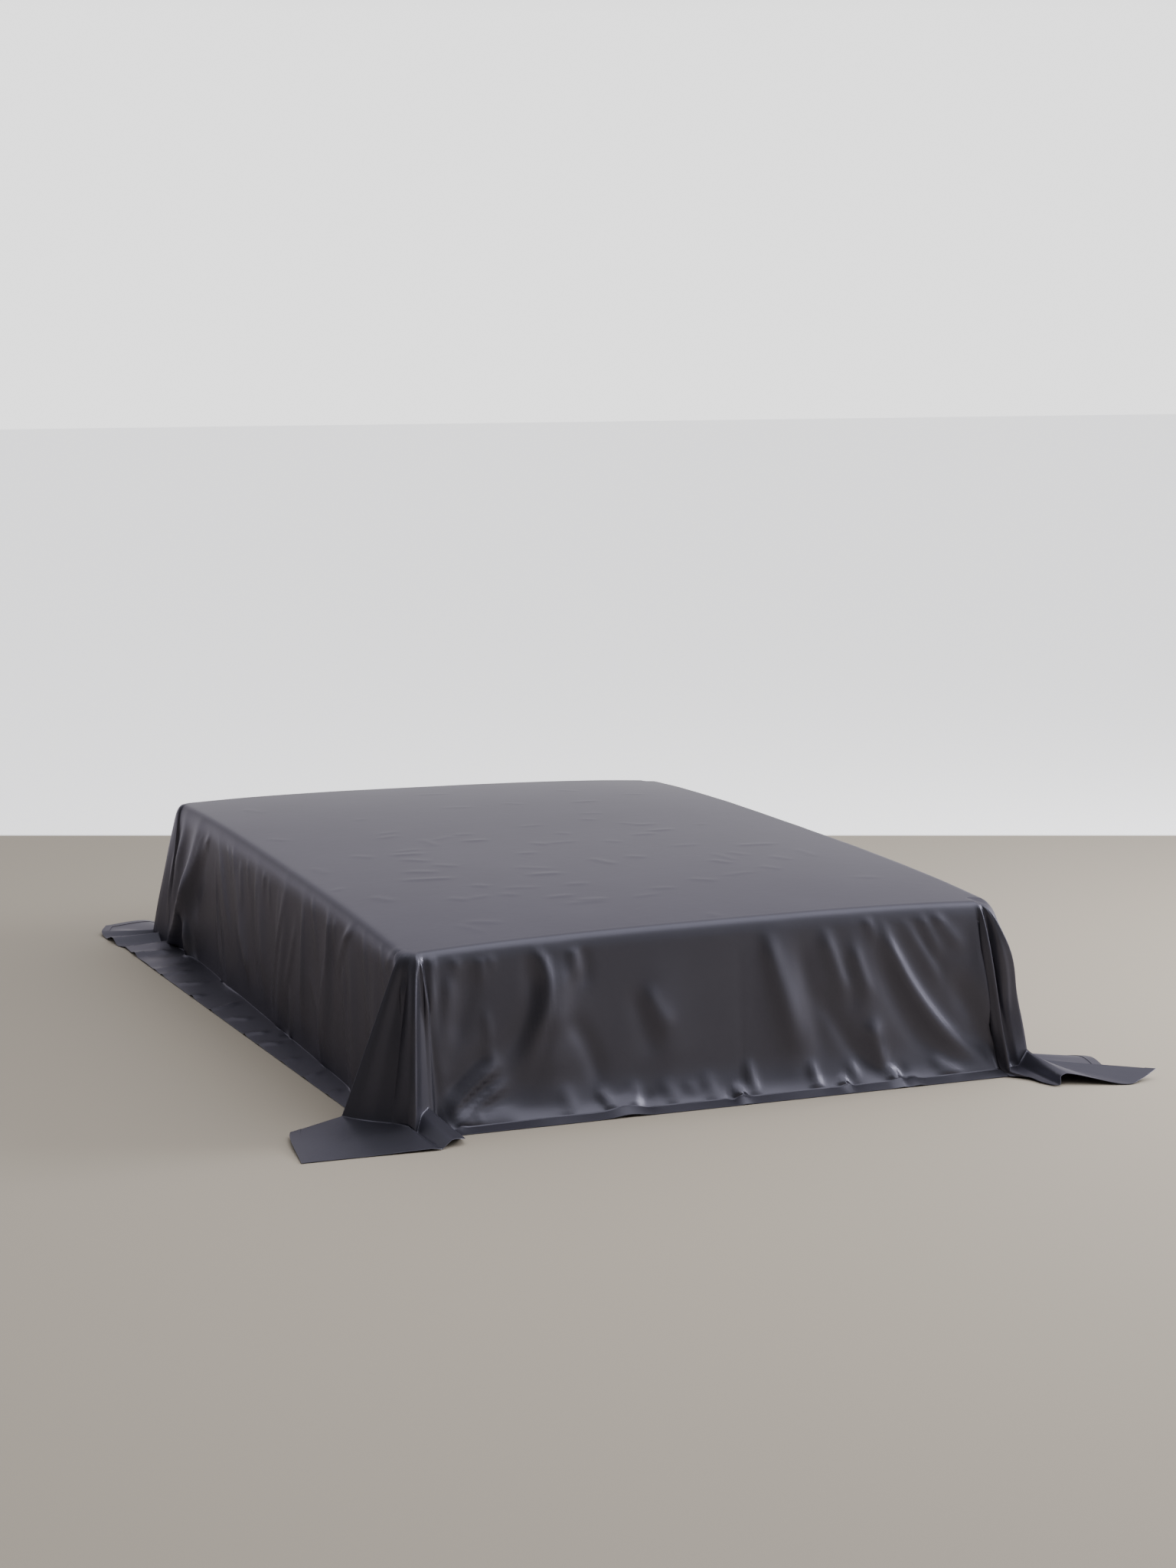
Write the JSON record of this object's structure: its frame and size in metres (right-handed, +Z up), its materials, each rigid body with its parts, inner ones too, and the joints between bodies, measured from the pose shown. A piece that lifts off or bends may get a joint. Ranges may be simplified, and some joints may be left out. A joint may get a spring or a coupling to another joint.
{
  "type": "flat sheet draped over a bed block",
  "caption": "Dark satin flat sheet draped over a low bed block, its corners folded out onto the floor round the bed.",
  "frame": {"origin": "on the floor, under the middle of the bed", "axes": "+Z up; +Y along the bed from its foot end to its head end; +X across the bed, so that -Y is the end nearest the camera"},
  "size_m": [1.9991, 2.4987, 0.417],
  "materials": {
    "charcoal_satin": "dark satin-woven cotton with a soft sheen",
    "bed_ticking": "plain matt cotton cover"
  },
  "bodies": {
    "root": {"sheet": "charcoal_satin", "bed_block": "bed_ticking"}
  },
  "joints": []
}
